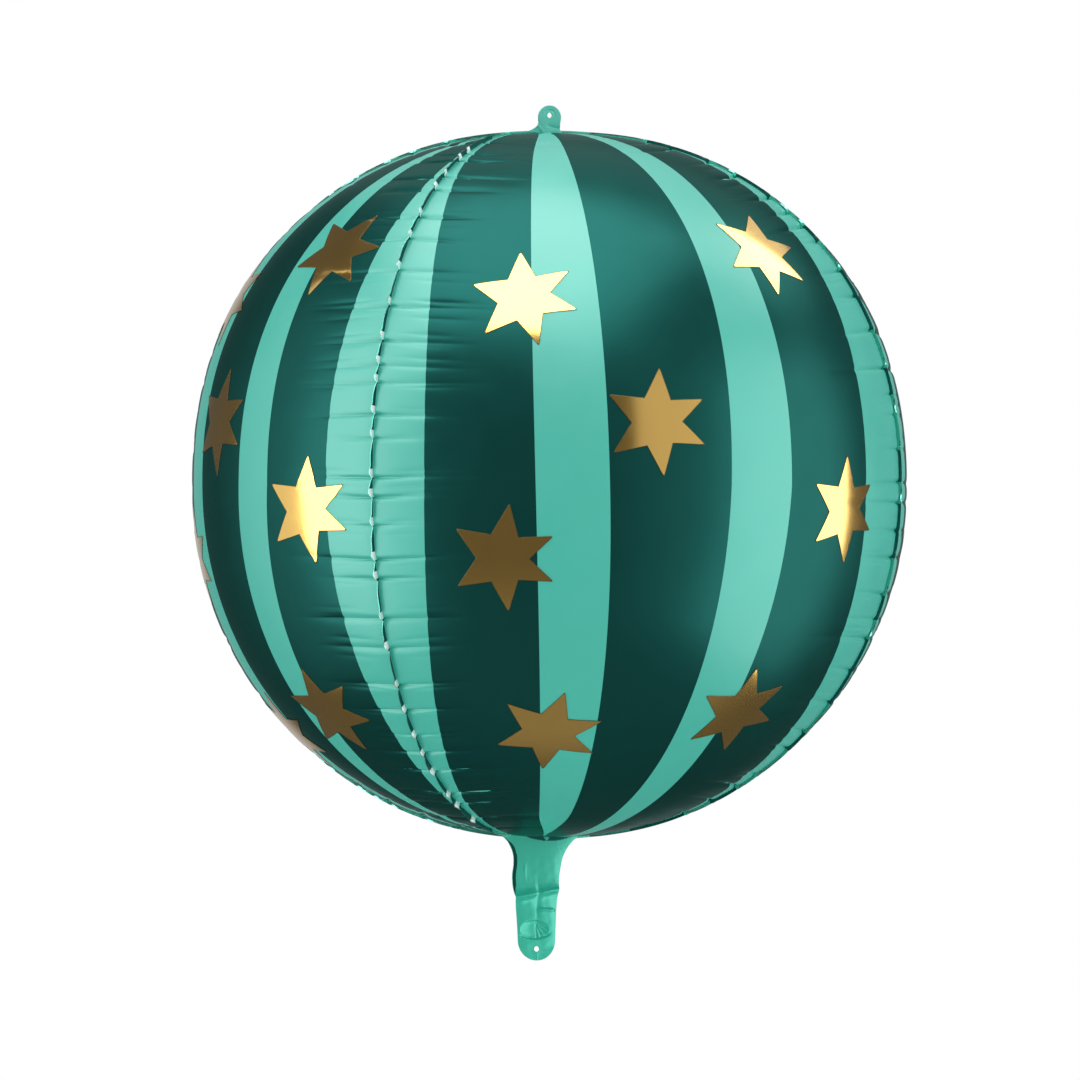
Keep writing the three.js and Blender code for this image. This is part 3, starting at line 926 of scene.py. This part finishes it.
def softbox(name, bearing, elevation, distance, width, height, brightness):
    """A soft light that shines at the globe. Its bearing is measured from the camera to the right."""
    turn, tilt = math.radians(bearing), math.radians(elevation)
    level = NEAR * math.cos(turn) + RIGHT * math.sin(turn)
    direction = level * math.cos(tilt) + UP * math.sin(tilt)
    data = bpy.data.lights.new(name, "AREA")
    data.shape = "RECTANGLE"
    data.size = width
    data.size_y = height
    data.energy = brightness * math.pi * width * height
    light = bpy.data.objects.new(name, data)
    light.visible_diffuse = False
    light.location = direction * distance + UP * GLOBE_CENTRE * MM
    light.rotation_mode = "QUATERNION"
    light.rotation_quaternion = (-direction).to_track_quat("-Z", "Y")
    bpy.context.scene.collection.objects.link(light)
    return light


FLOOR_TOP = -600
FLOOR_THICKNESS = 20
FLOOR_RADIUS = 1150
FLOOR_MIDDLE = 50  # radius of the faces in its middle


def make_floor():
    """A pale round floor well below the hanging balloon, which fades out into the backdrop."""
    turn = np.linspace(0, 2 * math.pi, 129)[:-1]
    under = FLOOR_TOP - FLOOR_THICKNESS
    profile = [(FLOOR_MIDDLE, under), (FLOOR_RADIUS, under)]
    profile += [(FLOOR_RADIUS, FLOOR_TOP), (FLOOR_MIDDLE, FLOOR_TOP)]
    rings = [
        np.stack([r * np.cos(turn), r * np.sin(turn), 0 * turn + z], -1) for r, z in profile
    ]
    material, tree, shader = new_material("pale_floor")
    shader.inputs["Base Color"].default_value = linear(238, 238, 236)
    shader.inputs["Roughness"].default_value = 0.8
    place = tree.nodes.new("ShaderNodeTexCoord")
    length = tree.nodes.new("ShaderNodeVectorMath")
    length.operation = "LENGTH"
    flatten = tree.nodes.new("ShaderNodeMapping")
    flatten.inputs["Scale"].default_value = (1, 1, 0)
    fade = tree.nodes.new("ShaderNodeMapRange")
    fade.interpolation_type = "SMOOTHSTEP"
    fade.inputs["From Min"].default_value = 0.35
    fade.inputs["From Max"].default_value = 1.1
    clear = tree.nodes.new("ShaderNodeBsdfTransparent")
    mix = tree.nodes.new("ShaderNodeMixShader")
    output = tree.nodes["Material Output"]
    tree.links.new(place.outputs["Object"], flatten.inputs["Vector"])
    tree.links.new(flatten.outputs["Vector"], length.inputs[0])
    tree.links.new(length.outputs["Value"], fade.inputs["Value"])
    tree.links.new(fade.outputs["Result"], mix.inputs["Fac"])
    tree.links.new(shader.outputs["BSDF"], mix.inputs[1])
    tree.links.new(clear.outputs["BSDF"], mix.inputs[2])
    tree.links.new(mix.outputs["Shader"], output.inputs["Surface"])
    floor = ring_solid("floor", np.array(rings), [material])
    floor.visible_glossy = False


FILL_ABOVE = 1.08
FILL_BELOW = 0.45
ROOM_AHEAD = 0.12
ROOM_BELOW = 0.26
ROOM_BEHIND = 0.1
EDGE_GLOW = 0.5


def by_direction(tree, share, low, high, first, last):
    """A strength that runs from first to last as a share of a ray's direction goes low to high."""
    spread = tree.nodes.new("ShaderNodeMapRange")
    spread.interpolation_type = "SMOOTHSTEP"
    spread.inputs["From Min"].default_value = low
    spread.inputs["From Max"].default_value = high
    spread.inputs["To Min"].default_value = first
    spread.inputs["To Max"].default_value = last
    tree.links.new(share, spread.inputs["Value"])
    return spread.outputs["Result"]


def make_world():
    """White to the camera, a fill for matt surfaces that is brighter from above, and in the
    reflections a dim room with a paler floor and a glow behind the balloon."""
    world = bpy.data.worlds.new("studio")
    world.use_nodes = True
    bpy.context.scene.world = world
    tree = world.node_tree
    background = tree.nodes["Background"]
    path = tree.nodes.new("ShaderNodeLightPath")
    place = tree.nodes.new("ShaderNodeTexCoord")
    parts = tree.nodes.new("ShaderNodeSeparateXYZ")
    tree.links.new(place.outputs["Generated"], parts.inputs["Vector"])
    vertical = parts.outputs["Z"]
    frontal = tree.nodes.new("ShaderNodeVectorMath")
    frontal.operation = "DOT_PRODUCT"
    frontal.inputs[1].default_value = NEAR
    tree.links.new(place.outputs["Generated"], frontal.inputs[0])
    nearness = frontal.outputs["Value"]
    behind = by_direction(tree, nearness, -1, -0.86, EDGE_GLOW, ROOM_BEHIND)
    ahead = by_direction(tree, vertical, -0.9, -0.35, ROOM_BELOW, ROOM_AHEAD)
    room = tree.nodes.new("ShaderNodeMix")
    tree.links.new(behind, room.inputs["A"])
    tree.links.new(ahead, room.inputs["B"])
    tree.links.new(by_direction(tree, nearness, -0.4, 0.05, 0, 1), room.inputs["Factor"])
    fill = tree.nodes.new("ShaderNodeMix")
    tree.links.new(room.outputs["Result"], fill.inputs["A"])
    tree.links.new(by_direction(tree, vertical, -1, 1, FILL_BELOW, FILL_ABOVE), fill.inputs["B"])
    white = tree.nodes.new("ShaderNodeMix")
    white.inputs["B"].default_value = 1
    tree.links.new(path.outputs["Is Diffuse Ray"], fill.inputs["Factor"])
    tree.links.new(fill.outputs["Result"], white.inputs["A"])
    tree.links.new(path.outputs["Is Camera Ray"], white.inputs["Factor"])
    tree.links.new(white.outputs["Result"], background.inputs["Strength"])
    background.inputs["Color"].default_value = (1, 1, 1, 1)


make_camera()
softbox("top_softbox", -15, 75, 1.7, 2.1, 2.1, 4.6)
softbox("right_softbox", 82, -8, 2.0, 2.0, 2.8, 2.9)
softbox("rear_softbox", 160, 50, 2.0, 2.8, 1.0, 0.75)
softbox("upper_right_softbox", 112, 44, 2.0, 0.8, 0.8, 3.2)
softbox("right_spill", 46, -6, 2.3, 1.6, 3.4, 0.5)
softbox("left_softbox", -67, 0, 2.0, 1.2, 3.4, 3.6)
softbox("left_spill", -100, 0, 2.0, 1.1, 3.4, 0.8)
make_floor()
make_world()
bpy.context.scene.view_settings.view_transform = "Standard"
